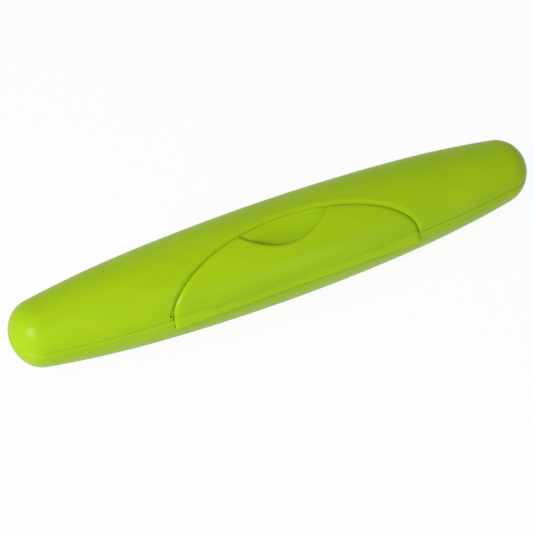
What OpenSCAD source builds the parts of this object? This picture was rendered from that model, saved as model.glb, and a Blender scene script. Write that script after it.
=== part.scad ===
// Toothbrush case: a slim hinged shell case with a latch flap in the front of its lid.
// X runs along the case, the flap faces -Y, the hinge is at +Y and the case rests on Z = 0.

/* [Body outline] */
// Overall length of the case
case_length = 210; // [200:1:225]
// Half width of the case at its middle
body_radius = 18.5; // [17:0.1:20]
// Radius of the side curve at the middle, as a part of length squared over half width
middle_bow = 0.3524; // [0.33:0.001:0.38]
// Radius of the side curve towards the ends, as a part of length squared over half width
end_bow = 0.1783; // [0.17:0.001:0.19]
// Distance from the middle at which the side curve tightens, as a part of the length
curve_change_part = 0.262; // [0.25:0.001:0.28]
// Radius of the shoulder that leads into each tip, as a part of the half width
shoulder_part = 0.595; // [0.5:0.005:0.65]
// Radius of the rounded tips, as a part of the half width
tip_part = 0.703; // [0.68:0.001:0.74]
// Height of the upper half above the parting plane
lid_rise = 17.4; // [16:0.1:19]
// Depth of the lower half before it is cut flat
base_drop = 21.4; // [20:0.1:23]
// Depth that the flat foot takes off the rounded bottom
foot_cut = 3.9; // [3:0.1:5]

/* [Walls] */
// Wall thickness of the two shells
wall = 1.5; // [1.3:0.1:1.7]
// Wall thickness behind the flap's recess
recess_wall = 1.3; // [1.1:0.1:1.5]
// Gap at the seam between the closed shells
seam_gap = 0.1; // [0.05:0.05:0.2]
// Height of the locating rim above the seam
rim_height = 1.2; // [0.8:0.1:1.6]
// Depth of the locating rim's root below the seam
rim_root = 1.5; // [1:0.1:2]
// Thickness of the locating rim
rim_thickness = 0.8; // [0.6:0.1:1.2]
// Play between the locating rim and the lid wall
rim_play = 0.2; // [0.15:0.05:0.3]

/* [Latch flap] */
// Thickness of the flap
flap_thickness = 1.5; // [1.3:0.1:1.6]
// Distance of the flap's top edge in front of the case's middle line
flap_top = 1.8; // [1:0.1:3]
// Half length of the straight lip at the foot of the flap
lip_half_length = 49.5; // [44:0.5:54]
// Distance of the flap's lower corners behind the case's surface
corner_inset = 0.24; // [0.2:0.01:0.5]
// Distance that the lip stands out in front of the case at its middle
lip_stand = 0.2; // [0.1:0.05:0.4]
// Depth of the lip's lower edge below the seam
lip_drop = 1.94; // [1.8:0.01:2]
// Height of the lip's upper crease above the seam at its middle
crease_middle = 0.2; // [0.1:0.1:0.4]
// Height of the lip's upper crease above the seam at its ends
crease_end = 1.3; // [0.8:0.1:1.8]
// Play all round the flap in its recess
flap_play = 0.3; // [0.25:0.05:0.4]
// Radius of the finger notch, seen from above
notch_radius = 24.1; // [20:0.1:28]
// Distance of the notch's deepest point in front of the middle line
notch_depth = 12.1; // [10:0.1:13]
// Length of the finger dish in the lid
dish_length = 36; // [30:1:42]
// Depth of the finger dish below the recess floor
dish_depth = 2.6; // [1.5:0.1:3]
// Radius of the finger dish across the case
dish_radius = 40; // [35:1:50]
// Angle of the middle of the finger dish above the front
dish_tilt = 56; // [52:1:60]

/* [Latch pivot] */
// Distance of the pivot behind the case's surface at its middle
pivot_depth = 1.6; // [1.5:0.05:1.65]
// Depth of the pivot below the seam
pivot_drop = 1; // [0.95:0.05:1.05]
// Diameter of the latch pins
latch_pin_diameter = 1.1; // [0.9:0.1:1.2]
// Length of the latch pins
latch_pin_length = 11; // [9:0.5:12]
// Distance of each pivot lug from the lip's end
lug_inset = 17.5; // [14:0.5:22]
// Width of each pivot lug
lug_width = 3; // [2.5:0.1:3.5]
// Outer radius of the pivot lugs
lug_radius = 0.95; // [0.9:0.05:1]
// Side play of each lug in its slot
lug_play = 0.2; // [0.15:0.05:0.3]
// Radius of the flap's barrels around the latch pins
barrel_radius = 1.15; // [1.05:0.05:1.2]
// Length of the flap's barrels
barrel_length = 13; // [12.5:0.5:14]
// Play around the barrels and the sweeping lip
sweep_play = 0.15; // [0.12:0.01:0.2]
// Width of the catch rib under the lip
catch_width = 16; // [10:1:24]
// Thickness of the catch rib
catch_thickness = 0.45; // [0.4:0.05:0.55]
// Depth of the catch rib below the lip
catch_height = 1; // [0.7:0.05:1]
// Distance of the catch rib's face in front of the pivot
catch_setback = 0.75; // [0.6:0.05:0.8]
// Diameter of the small round hole beside the flap's left corner
relief_diameter = 1; // [0.6:0.1:1.2]
// Distance of that hole beyond the lip's end
relief_offset = 1.1; // [1:0.1:2]
// Height of that hole above the seam
relief_height = 2.5; // [2:0.1:3]

/* [Hinge] */
// Distance between the middles of the two hinges
hinge_spacing = 64; // [56:1:76]
// Diameter of the hinge knuckles
knuckle_diameter = 3.8; // [3.4:0.1:3.8]
// Diameter of the hinge pins
hinge_pin_diameter = 1.6; // [1.4:0.1:1.8]
// Width of each of the two outer knuckles
outer_knuckle_width = 5; // [4:0.5:7]
// Width of the middle knuckle
middle_knuckle_width = 6; // [5:0.5:9]
// Gap between neighbouring knuckles
knuckle_gap = 0.3; // [0.2:0.05:0.5]
// Clearance between the knuckles and the wall beside them
knuckle_clearance = 0.15; // [0.1:0.05:0.4]
// Height of the webs that carry the knuckles
web_height = 6.5; // [5:0.5:8]
// Running play around each pin
pin_play = 0.05; // [0.03:0.01:0.08]
// Play around each pin where it is held
held_play = 0.01; // [0.01:0.01:0.02]

/* [Brush rests] */
// Number of cross ribs that carry the brush
rest_count = 3; // [1:1:5]
// Distance between neighbouring cross ribs
rest_spacing = 46; // [30:1:46]
// Thickness of each cross rib
rest_thickness = 1.4; // [1:0.1:2]
// Height of the cross ribs above the inside floor
rest_height = 4; // [3:0.5:6]
// Height of the hollow's lowest point above the inside floor
rest_bed = 1.5; // [1:0.25:2.5]
// Radius of the hollow in each cross rib
rest_hollow = 9; // [7:0.5:12]

/* [Hidden] */
$fn = 96;

case_green = [0.66, 0.80, 0.05];
pin_steel = [0.72, 0.73, 0.74];

half_length = case_length / 2;
bow_unit = pow(case_length, 2) / body_radius;
middle_curve = middle_bow * bow_unit;
end_curve = end_bow * bow_unit;
curve_change = curve_change_part * case_length;
shoulder_round = shoulder_part * body_radius;
tip_round = tip_part * body_radius;
lid_flatten = lid_rise / body_radius;
base_deepen = base_drop / body_radius;
seam_height = base_drop - foot_cut;
big = 1.5 * case_length;
middle_steps = 5;
end_steps = 5;
shoulder_steps = 5;
tip_steps = 4;

// Side outline in the parting plane: [distance out, distance along] from the middle.
// Each arc is a centre and a radius, and neighbouring arcs meet in line with both centres.
middle_centre = [body_radius - middle_curve, 0];
change_angle = asin(curve_change / middle_curve);
end_centre = middle_centre
    + (middle_curve - end_curve) * [cos(change_angle), sin(change_angle)];
tip_centre = [0, half_length - tip_round];
shoulder_reach = end_curve - shoulder_round;
tip_reach = tip_round - shoulder_round;
tip_way = tip_centre - end_centre;
tip_distance = norm(tip_way);
way_unit = tip_way / tip_distance;
along_way = (pow(shoulder_reach, 2) - pow(tip_reach, 2) + pow(tip_distance, 2)) / (2 * tip_distance);
off_way = sqrt(pow(shoulder_reach, 2) - pow(along_way, 2));
shoulder_centre = end_centre + along_way * way_unit + off_way * [-way_unit[1], way_unit[0]];
shoulder_angle = atan2(shoulder_centre[1] - end_centre[1], shoulder_centre[0] - end_centre[0]);
tip_angle = atan2(shoulder_centre[1] - tip_centre[1], shoulder_centre[0] - tip_centre[0]);

// The recess is as deep as the flap is thick, with play behind it.
recess_depth = flap_thickness + flap_play;
// The flap's outline is a circle, seen from above, through its top edge and its lower corners.
corner_back = half_width(lip_half_length) - corner_inset - flap_top;
flap_outline = (pow(lip_half_length, 2) + pow(corner_back, 2)) / (2 * corner_back);
outline_y = -flap_top - flap_outline;
lip_face = body_radius + lip_stand;
pivot_front = body_radius - pivot_depth;
lug_offset = lip_half_length - lug_inset;

// Middle of the dish on the recess floor, and the way out of it, as [y, z] from the seam.
floor_radius = body_radius - recess_depth;
floor_turn = atan(lid_flatten * tan(dish_tilt));
dish_floor = floor_radius * [-cos(floor_turn), lid_flatten * sin(floor_turn)];
dish_out = [-cos(dish_tilt), sin(dish_tilt)];
dish_middle = dish_floor + (dish_radius - dish_depth) * dish_out;
dish_curve = pow(dish_length / 2, 2) / (2 * dish_depth);

// The lip's lower edge sweeps this far round the pivot.
lip_sweep = norm([lip_face - pivot_front, lip_drop - pivot_drop]);
trough_radius = lip_sweep + sweep_play;
barrel_room = barrel_radius + sweep_play;
// The lip's back stays within the barrels' radius, so it turns in the same room.
lip_back = 0.6;
lip_shoulder = 0.15;
lip_bar = 0.3;
crease_bite = 0.05;
lip_stations = [for (part = [-1, -0.65, -0.33, 0, 0.33, 0.65, 1]) part * lip_half_length];
thin = 0.01;
// Each latch pin is put in from the inner end of its barrel, and the outer end is closed.
latch_pin_inset = 1;
// The lug's stem goes up into the wall behind the recess.
stem_depth = 0.8 * recess_wall;
stem_rise = 0.8;
lug_room = 0.12;
slot_front = 0.35;
pocket_play = 0.25;

knuckle_radius = knuckle_diameter / 2;
hinge_half = middle_knuckle_width / 2 + knuckle_gap + outer_knuckle_width;
hinge_y = half_width(hinge_spacing / 2 - hinge_half) + knuckle_radius + knuckle_clearance;
hinge_pin_length = 2 * (hinge_half - 0.2);
web_gap = seam_gap + 0.1;
rim_bite = 0.2;
rim_stop = lip_half_length + 3;

// A point on an arc, by its angle from the outward direction.
function on_arc(centre, radius, angle) = centre + radius * [cos(angle), sin(angle)];

// Points along an arc from one angle to another, without the last one.
function arc_points(centre, radius, from, to, steps) =
    [for (i = [0 : steps - 1]) on_arc(centre, radius, from + (to - from) * i / steps)];

// The side outline from the middle to the tip, moved in from the outer surface by the inset.
function outline_half(inset) = concat(
    arc_points(middle_centre, middle_curve - inset, 0, change_angle, middle_steps),
    arc_points(end_centre, end_curve - inset, change_angle, shoulder_angle, end_steps),
    arc_points(shoulder_centre, shoulder_round - inset, shoulder_angle, tip_angle, shoulder_steps),
    arc_points(tip_centre, tip_round - inset, tip_angle, 90, tip_steps),
    [[0, half_length - inset]]
);

// Half width of the case at a distance along it, within its two long curves.
function half_width(along) = abs(along) < curve_change
    ? middle_centre[0] + sqrt(pow(middle_curve, 2) - pow(along, 2))
    : end_centre[0] + sqrt(pow(end_curve, 2) - pow(abs(along) - end_centre[1], 2));

// Distance of the outer surface from the middle plane, at a height above or below the seam.
function surface_out(along, height) = let (
    radius = half_width(along),
    rise = radius * (height > 0 ? lid_flatten : base_deepen)
) radius * sqrt(1 - pow(height / rise, 2));

// Distance from the pivot back to the recess floor at the seam.
function stem_root(along) = pivot_front - half_width(along) + recess_depth;

// Distance from the middle line to the flap's outline, negative in front.
function outline_edge(along) = outline_y + sqrt(pow(flap_outline, 2) - pow(along, 2));

// Height of the crease where the lip runs into the flap's face.
function crease(along) =
    crease_middle + (crease_end - crease_middle) * pow(abs(along) / lip_half_length, 3);

// The outline on one side of the middle line.
module side_outline(inset) {
    half = outline_half(inset);
    polygon(concat(half, [for (i = [len(half) - 1 : -1 : 1]) [half[i][0], -half[i][1]]]));
}

// The whole outline as it lies in the parting plane, as a flat sheet of the given height.
module plan_slab(inset, height) {
    linear_extrude(height) rotate(90) {
        side_outline(inset);
        mirror([1, 0]) side_outline(inset);
    }
}

// Half of the body's form above the parting plane, or below it when the side is -1.
module half_form(inset, side) {
    scale([1, 1, side > 0 ? lid_flatten : base_deepen])
        rotate([0, 90, 0])
            rotate([0, 0, side > 0 ? 90 : -90])
                rotate_extrude(angle = 180) side_outline(inset);
}

// The lower half of the form, cut flat for its foot.
module base_form(inset) {
    intersection() {
        half_form(inset, -1);
        translate([-big / 2, -big / 2, inset - seam_height]) cube([big, big, seam_height]);
    }
}

module at_seam() {
    translate([0, 0, seam_height]) children();
}

// A bar along X with its section drawn in the YZ plane, around the middle of the case.
module bar_along(length) {
    rotate([90, 0, 90]) linear_extrude(length, center = true) children();
}

module rod_along(radius, length) {
    rotate([0, 90, 0]) cylinder(r = radius, h = length, center = true);
}

module at_pivot() {
    translate([0, -pivot_front, -pivot_drop]) children();
}

// Everything within the flap's outline, seen from above.
module outline_column(play) {
    translate([0, outline_y, -1]) cylinder(r = flap_outline + play, h = body_radius + 2, $fn = 360);
}

// The form that presses the finger dish into the lid.
module dish_form(grow) {
    translate([0, dish_middle[0], dish_middle[1]]) rotate([0, 90, 0]) rotate_extrude() intersection() {
        translate([dish_radius - dish_curve, 0]) circle(r = dish_curve + grow, $fn = 180);
        translate([0, -big / 2]) square(big);
    }
}

// What the flap's recess takes out of the lid's outside, and what stands behind it inside.
module recess(depth, play) {
    difference() {
        outline_column(play);
        half_form(depth, 1);
    }
    intersection() {
        outline_column(play);
        dish_form(depth - recess_depth);
    }
}

// A hinge knuckle with its web down or up to the wall, and its bore.
module knuckle(width, side, bore_play) {
    root = half_width(hinge_spacing / 2) - wall / 2;
    foot = surface_out(hinge_spacing / 2, side * web_height) - wall / 2;
    lift = side * web_gap;
    translate([0, hinge_y, 0]) difference() {
        union() {
            rod_along(knuckle_radius, width);
            bar_along(width) polygon([
                [root - hinge_y, lift],
                [0, lift],
                knuckle_radius * [cos(45), side * sin(45)],
                [foot - hinge_y, side * web_height]
            ]);
        }
        rod_along(hinge_pin_diameter / 2 + bore_play, width + 1);
    }
}

module base_knuckles() {
    for (side = [-1, 1], outer = [-1, 1])
        translate([side * hinge_spacing / 2 + outer * (hinge_half - outer_knuckle_width / 2), 0, 0])
            knuckle(outer_knuckle_width, -1, held_play);
}

module lid_knuckles() {
    for (side = [-1, 1])
        translate([side * hinge_spacing / 2, 0, 0])
            knuckle(middle_knuckle_width, 1, pin_play);
}

// The rim that keeps the closed lid in line. It stops short of the flap's recess.
module locating_rim() {
    outer = wall + rim_play;
    difference() {
        union() {
            plan_slab(outer, rim_height);
            translate([0, 0, -rim_root]) plan_slab(wall - rim_bite, rim_root);
        }
        translate([0, 0, -rim_root - 1]) plan_slab(outer + rim_thickness, rim_root + rim_height + 2);
        translate([-rim_stop, -2 * body_radius, -big / 2])
            cube([2 * rim_stop, 2 * body_radius, big]);
    }
}

// The straight wall behind the trough in which the lip turns.
module trough_wall() {
    front = -half_width(lip_half_length) + wall / 2;
    back = barrel_room + wall - pivot_front;
    floor_z = -pivot_drop - trough_radius - recess_wall;
    bar_along(2 * lip_half_length + 2 * wall)
        polygon([[front, 0], [back, 0], [back, floor_z + 1], [back - 1, floor_z], [front, floor_z]]);
}

module lip_trough() {
    length = 2 * (lip_half_length + flap_play);
    at_pivot() {
        rod_along(barrel_room, length);
        intersection() {
            rod_along(trough_radius, length);
            translate([-big / 2, -trough_radius - 1, -trough_radius - 1])
                cube([big, trough_radius + 1 + barrel_radius, trough_radius + 1 + pivot_drop + 1]);
        }
        translate([-length / 2, -2 * trough_radius, pivot_drop - lip_drop])
            cube([length, 2 * trough_radius, lip_drop + 1]);
        rod_along(trough_radius, catch_width + 2 * flap_play);
        for (side = [-1, 1]) translate([side * lug_offset, 0, 0]) lug_pocket();
    }
}

// Room behind the trough for a lug's stem.
module lug_pocket() {
    width = lug_width + 2 * pocket_play;
    floor_z = -lug_radius - pocket_play;
    translate([-width / 2, 0, floor_z])
        cube([width, stem_root(lug_offset) + stem_depth + pocket_play, 2 * lug_radius + pivot_drop]);
}

module brush_rests() {
    floor_z = wall - seam_height;
    intersection() {
        base_form(wall / 2);
        for (i = [0 : rest_count - 1])
            translate([(i - (rest_count - 1) / 2) * rest_spacing, 0, 0]) difference() {
                translate([-rest_thickness / 2, -body_radius, floor_z - wall / 2])
                    cube([rest_thickness, 2 * body_radius, rest_height + wall / 2]);
                translate([0, 0, floor_z + rest_bed + rest_hollow])
                    rod_along(rest_hollow, 2 * rest_thickness);
            }
    }
}

module base_shell() {
    color(case_green) at_seam() {
        difference() {
            union() {
                difference() {
                    base_form(0);
                    base_form(wall);
                }
                intersection() {
                    base_form(wall / 2);
                    trough_wall();
                }
                brush_rests();
            }
            lip_trough();
        }
        locating_rim();
        base_knuckles();
    }
}

// A lug hangs below the lid's edge behind the lip and carries a latch pin.
module pivot_lug() {
    root = stem_root(lug_offset);
    difference() {
        union() {
            rod_along(lug_radius, lug_width);
            bar_along(lug_width) polygon([
                lug_radius * [cos(52), sin(52)],
                [lug_radius, 0],
                [root + stem_depth, pivot_drop],
                [root + stem_depth, pivot_drop + stem_rise],
                [root + seam_gap, pivot_drop + stem_rise],
                [root + seam_gap, pivot_drop]
            ]);
        }
        rod_along(latch_pin_diameter / 2 + pin_play, lug_width + 1);
    }
}

module lid_shell() {
    color(case_green) at_seam() {
        difference() {
            half_form(0, 1);
            difference() {
                half_form(wall, 1);
                recess(recess_depth + recess_wall, flap_play + wall);
            }
            recess(recess_depth, flap_play);
            at_pivot() rod_along(barrel_room, 2 * (lip_half_length + flap_play));
            translate([-big / 2, -big / 2, -1]) cube([big, big, 1 + seam_gap]);
            translate([-lip_half_length - relief_offset, 0, relief_height])
                rotate([90, 0, 0]) cylinder(d = relief_diameter, h = 2 * body_radius, $fn = 32);
        }
        for (side = [-1, 1]) translate([side * lug_offset, 0, 0]) at_pivot() pivot_lug();
        lid_knuckles();
    }
}

// Front part of the lip at a distance along the case: its face runs up to the crease.
module lip_section(along) {
    top = crease(along);
    inside = min(flap_thickness / 2 - half_width(along), outline_edge(along) - crease_bite);
    rotate([90, 0, 90]) linear_extrude(thin) polygon([
        [-lip_face, -lip_drop], [crease_bite - surface_out(along, top), top],
        [inside, top], [inside, -lip_drop]
    ]);
}

module lip() {
    back = lip_back - pivot_front;
    for (i = [0 : len(lip_stations) - 2]) hull() {
        translate([lip_stations[i], 0, 0]) lip_section(lip_stations[i]);
        translate([lip_stations[i + 1] - thin, 0, 0]) lip_section(lip_stations[i + 1]);
    }
    bar_along(2 * lip_half_length) polygon([
        [lip_bar - lip_face, -lip_drop], [lip_bar - lip_face + 1, -lip_shoulder],
        [back, -lip_shoulder], [back, -lip_drop]
    ]);
}

module catch_rib() {
    drop = lip_drop - pivot_drop;
    front = -catch_setback;
    at_pivot() bar_along(catch_width) polygon([
        [front, -drop - catch_height], [front + catch_thickness, -drop - catch_height],
        [front + catch_thickness, 0], [front, 0]
    ]);
}

// Room in the flap for a lug while the flap turns round it.
module lug_slot() {
    width = lug_width + 2 * lug_play;
    rod_along(lug_radius + lug_room, width);
    translate([-width / 2, -slot_front, -2 * trough_radius])
        cube([width, 2 * trough_radius, 2 * trough_radius + lug_radius - 0.05]);
}

// The flap's panel, which is a piece of the case's own outer form.
module flap_panel() {
    intersection() {
        difference() {
            half_form(0, 1);
            half_form(flap_thickness, 1);
        }
        outline_column(0);
        translate([-lip_half_length, -2 * body_radius, 0])
            cube([2 * lip_half_length, 2 * body_radius, body_radius]);
    }
}

module latch_flap() {
    color(case_green) at_seam() difference() {
        union() {
            flap_panel();
            lip();
            for (side = [-1, 1]) translate([side * lug_offset, 0, 0])
                at_pivot() rod_along(barrel_radius, barrel_length);
            catch_rib();
        }
        translate([0, notch_radius - notch_depth, -big / 2])
            cylinder(r = notch_radius, h = big, $fn = 180);
        for (side = [-1, 1]) translate([side * lug_offset, 0, 0]) at_pivot() {
            lug_slot();
            translate([-side * latch_pin_inset / 2, 0, 0])
                rod_along(latch_pin_diameter / 2 + held_play, barrel_length - latch_pin_inset);
        }
    }
}

module hinge_pin(side) {
    color(pin_steel) at_seam()
        translate([side * hinge_spacing / 2, hinge_y, 0])
            rod_along(hinge_pin_diameter / 2, hinge_pin_length);
}

module latch_pin(side) {
    color(pin_steel) at_seam()
        translate([side * (lug_offset - latch_pin_inset / 2), 0, 0])
            at_pivot() rod_along(latch_pin_diameter / 2, latch_pin_length);
}

module hinge_pin_left() { hinge_pin(-1); }
module hinge_pin_right() { hinge_pin(1); }
module latch_pin_left() { latch_pin(-1); }
module latch_pin_right() { latch_pin(1); }

base_shell();
lid_shell();
latch_flap();
hinge_pin_left();
hinge_pin_right();
latch_pin_left();
latch_pin_right();
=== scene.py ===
"""A lime green toothbrush case on a pale floor, seen from above its front left end.

Sizes are in millimetres, as on the part, and are turned into metres when a mesh is made.
X runs along the case, the latch flap faces -Y and heights are measured from the seam.
"""

import math

import bmesh
import bpy
import numpy as np
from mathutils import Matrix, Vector
from mathutils.geometry import delaunay_2d_cdt


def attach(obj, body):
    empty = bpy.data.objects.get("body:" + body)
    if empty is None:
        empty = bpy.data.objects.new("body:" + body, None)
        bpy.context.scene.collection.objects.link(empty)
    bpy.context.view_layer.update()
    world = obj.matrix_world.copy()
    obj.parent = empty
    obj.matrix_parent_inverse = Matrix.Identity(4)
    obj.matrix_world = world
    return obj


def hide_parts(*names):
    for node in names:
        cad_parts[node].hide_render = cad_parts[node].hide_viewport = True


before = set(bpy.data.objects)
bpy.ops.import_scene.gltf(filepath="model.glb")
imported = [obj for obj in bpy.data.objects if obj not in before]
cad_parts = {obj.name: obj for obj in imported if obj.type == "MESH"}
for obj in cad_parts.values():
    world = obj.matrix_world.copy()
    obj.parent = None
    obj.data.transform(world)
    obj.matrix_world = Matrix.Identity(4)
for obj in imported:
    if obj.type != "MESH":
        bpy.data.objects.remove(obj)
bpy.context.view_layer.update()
scene = bpy.context.scene

# Sizes of the part
LENGTH = 210.0
HALF_WIDTH = 18.5
LID_RISE = 17.4
BASE_DROP = 21.4
FOOT_CUT = 3.9
SEAM = BASE_DROP - FOOT_CUT
BOW = LENGTH**2 / HALF_WIDTH
MIDDLE_CURVE = 0.3524 * BOW
END_CURVE = 0.1783 * BOW
CURVE_CHANGE = 0.262 * LENGTH
SHOULDER = 0.595 * HALF_WIDTH
TIP = 0.703 * HALF_WIDTH
WALL = 1.5
SEAM_GAP = 0.1
FLAP_THICKNESS = 1.5
FLAP_PLAY = 0.3
RECESS = FLAP_THICKNESS + FLAP_PLAY
RECESS_WALL = 1.3
FLAP_TOP = 1.8
LIP_HALF = 49.5
CORNER_INSET = 0.24
LIP_FACE = HALF_WIDTH + 0.2
LIP_DROP = 1.94
CREASE_MIDDLE = 0.2
CREASE_END = 1.3
NOTCH_RADIUS = 24.1
NOTCH_CENTRE = NOTCH_RADIUS - 12.1
DISH_LENGTH = 36.0
DISH_DEPTH = 2.6
DISH_RADIUS = 40.0
DISH_TILT = math.radians(56)
PIVOT_FRONT = HALF_WIDTH - 1.6
PIVOT_DROP = 1.0
LUG_OFFSET = LIP_HALF - 17.5
LUG_WIDTH = 3.0
LUG_RADIUS = 0.95
HINGE_SPACING = 64.0
KNUCKLE_RADIUS = 1.9
KNUCKLE_OUTER = 5.0
KNUCKLE_MIDDLE = 6.0
KNUCKLE_GAP = 0.3

# Small forms, as they are drawn
LUG_BORE = 0.62
BARREL_RADIUS = 1.1
BARREL_BORE = 0.56
BARREL_REACH = 6.5
CATCH_HALF = 8.0
CATCH_THICKNESS = 0.45
KNUCKLE_BORE = 0.85
WEB_HEIGHT = 6.5
HINGE_CLEAR = 0.15
HOLE_AWAY = 1.1
HOLE_HEIGHT = 2.5
HOLE_RADIUS = 0.54
HOLE_WALL = 0.06
HOLE_DEPTH = 1.2
REST_OFFSET = 46.0
REST_HALF = 0.7
REST_HEIGHT = 4.0
BRUSH_RADIUS = 9.0
BRUSH_LIFT = 1.5
LUG_EDGE = 0.12
BARREL_EDGE = 0.15
CATCH_EDGE = 0.12
KNUCKLE_EDGE = 0.3
REST_EDGE = 0.3

# Rounded edges, each as its width along the surface and its drop
LID_EDGE = (1.9, 1.1)
FLAP_EDGE = (1.3, 0.9)
END_EDGE = (0.8, 0.45)
NOTCH_EDGE = (0.9, 0.7)
LIP_EDGE = (0.25, 0.22)
SEAM_EDGE_LID = (0.8, 0.4)
SEAM_EDGE_BASE = (1.1, 0.75)
EDGE_POWER = 1.7

# Rounds at the foot of the recess's wall, at the flap and in the finger dish
FLOOR_EDGE = 0.25
DISH_EDGE = 1.1

# Room round the flap, and the form of its lip and crease
EDGE_PLAY = 0.1
LIP_FLARE = 0.45
LIP_LOW = LIP_DROP + 0.4
LIP_SWEEP = 0.06
LIP_CURL = 1.2
CREASE_SINK = 0.25
CREASE_REACH = 2.5

# A skin is laid out flat in s, the way along the side, and t, which is AROUND times phi
AROUND = 18.0
HIGH = math.pi * AROUND
LEAST_SCALE = 0.15
TINY = 1e-6

# Meshes: welding distances, in millimetres and then in metres, and angles of sharp edges
METRES = 0.001
PART_WELD = 0.001
MESH_WELD = 2e-6
SLIVER = 1e-7
BEVEL_ABOVE = math.radians(50)
SHARP_ABOVE = math.radians(35)


def side_arcs():
    """The four arcs of the side outline: centre [out, along], radius, first and last angle."""
    middle = np.array([HALF_WIDTH - MIDDLE_CURVE, 0.0])
    change = math.asin(CURVE_CHANGE / MIDDLE_CURVE)
    end = middle + (MIDDLE_CURVE - END_CURVE) * np.array([math.cos(change), math.sin(change)])
    tip = np.array([0.0, LENGTH / 2 - TIP])
    reach = END_CURVE - SHOULDER
    tip_reach = TIP - SHOULDER
    way = tip - end
    distance = float(np.linalg.norm(way))
    way = way / distance
    along = (reach**2 - tip_reach**2 + distance**2) / (2 * distance)
    off = math.sqrt(reach**2 - along**2)
    shoulder = end + along * way + off * np.array([-way[1], way[0]])
    first = math.atan2(*(shoulder - end)[::-1])
    second = math.atan2(*(shoulder - tip)[::-1])
    return [
        (middle, MIDDLE_CURVE, 0.0, change),
        (end, END_CURVE, change, first),
        (shoulder, SHOULDER, first, second),
        (tip, TIP, second, math.pi / 2),
    ]


ARCS = side_arcs()
REACH = sum(radius * (last - first) for _, radius, first, last in ARCS)


def outline(s):
    """At the way s along the side: x, half width, and the outline's normal along and out."""
    s = np.asarray(s, float)
    u = np.minimum(np.abs(s), REACH)
    sign = np.where(s < 0, -1.0, 1.0)
    out = np.zeros_like(u)
    along = np.zeros_like(u)
    turn = np.zeros_like(u)
    start = 0.0
    for centre, radius, first, last in ARCS:
        here = u >= start - 1e-9
        angle = first + (u - start) / radius
        out = np.where(here, centre[0] + radius * np.cos(angle), out)
        along = np.where(here, centre[1] + radius * np.sin(angle), along)
        turn = np.where(here, angle, turn)
        start += radius * (last - first)
    return along * sign, np.maximum(out, 0.0), np.sin(turn) * sign, np.cos(turn)


TABLE_S = np.linspace(-REACH, REACH, 8001)
TABLE_X = outline(TABLE_S)[0]


def way_to(x):
    """The way along the side at which the outline has that x."""
    return np.interp(x, TABLE_X, TABLE_S)


def body(s, phi, inset, rise):
    """Points on the case's form, moved in by inset. Phi is 0 at the front of the seam."""
    x, out, along_part, out_part = outline(s)
    radius = out - inset * out_part
    height = rise / HALF_WIDTH * radius * np.sin(phi)
    return np.stack([x - inset * along_part, -radius * np.cos(phi), height], -1)


def body_normal(s, phi, rise):
    """The outward normal of the case's form."""
    _, _, along_part, out_part = outline(s)
    up = out_part * np.sin(phi) * HALF_WIDTH / rise
    n = np.stack([along_part * np.ones_like(phi), -out_part * np.cos(phi), up], -1)
    return n / np.linalg.norm(n, axis=-1, keepdims=True)


CORNER_BACK = float(outline(way_to(LIP_HALF))[1]) - CORNER_INSET - FLAP_TOP
FLAP_OUTLINE = (LIP_HALF**2 + CORNER_BACK**2) / (2 * CORNER_BACK)
OUTLINE_Y = -FLAP_TOP - FLAP_OUTLINE


def round_over(distance, edge):
    """How far a surface drops at that distance from a rounded edge."""
    width, depth = edge
    return depth * (1 - np.clip(distance / width, 0.0, 1.0)) ** EDGE_POWER


def smooth_step(x):
    """0 up to 0 and 1 from 1 on, with a soft rise between."""
    x = np.clip(x, 0.0, 1.0)
    return x * x * (3 - 2 * x)


def soft_above(x, soft):
    """x where it is above zero, and 0 below, with a soft turn."""
    return 0.5 * (x + np.sqrt(x * x + soft * soft))


def ring_distance(s, phi, centre_y, radius):
    """Distance along the lid's surface from a circle drawn in plan, positive outside it."""
    p = body(s, phi, 0.0, LID_RISE)
    n = body_normal(s, phi, LID_RISE)
    dx = p[..., 0]
    dy = p[..., 1] - centre_y
    rho = np.hypot(dx, dy)
    lean = (dx * n[..., 0] + dy * n[..., 1]) / rho
    least = 0.04
    return (rho - radius) / np.sqrt(np.maximum(1 - lean**2, least))


def ring_row(centre_y, radius, offset, angles):
    """[s, t] points at that distance from a plan circle, and whether each lies on the case.

    Angle 0 is on the circle's +Y side.
    """
    extra = np.full_like(angles, offset)
    for _ in range(6):
        x = (radius + extra) * np.sin(angles)
        y = centre_y + (radius + extra) * np.cos(angles)
        s = way_to(x)
        out = outline(s)[1]
        phi = np.arccos(np.clip(-y / out, -1, 1))
        now = ring_distance(s, phi, centre_y, radius)
        away = np.abs(now) > TINY
        slope = (np.hypot(x, y - centre_y) - radius) / np.where(away, now, TINY)
        extra = np.where(away, offset * slope, offset)
    return np.stack([s, phi * AROUND], -1), -y < out


def in_metres(points):
    """Points measured in millimetres from the seam, in metres above the floor."""
    p = np.array(points, float)
    p[:, 2] += SEAM
    return p * METRES


def rounded(points, faces, width, chosen):
    """The part with a rounded bevel on the sharp edges that chosen(a, b) accepts."""
    bm = bmesh.new()
    verts = [bm.verts.new(p) for p in points]
    for f in faces:
        bm.faces.new([verts[i] for i in f])
    bmesh.ops.remove_doubles(bm, verts=bm.verts, dist=PART_WELD)
    bmesh.ops.recalc_face_normals(bm, faces=bm.faces)
    sharp = [
        e
        for e in bm.edges
        if len(e.link_faces) == 2
        and e.calc_face_angle(0.0) > BEVEL_ABOVE
        and chosen(e.verts[0].co, e.verts[1].co)
    ]
    bmesh.ops.bevel(
        bm, geom=sharp, offset=width, offset_type="OFFSET", segments=3, profile=0.5,
        affect="EDGES", clamp_overlap=True,
    )
    bm.verts.index_update()
    made = [tuple(v.co) for v in bm.verts], [[v.index for v in f.verts] for f in bm.faces]
    bm.free()
    return made


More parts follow.
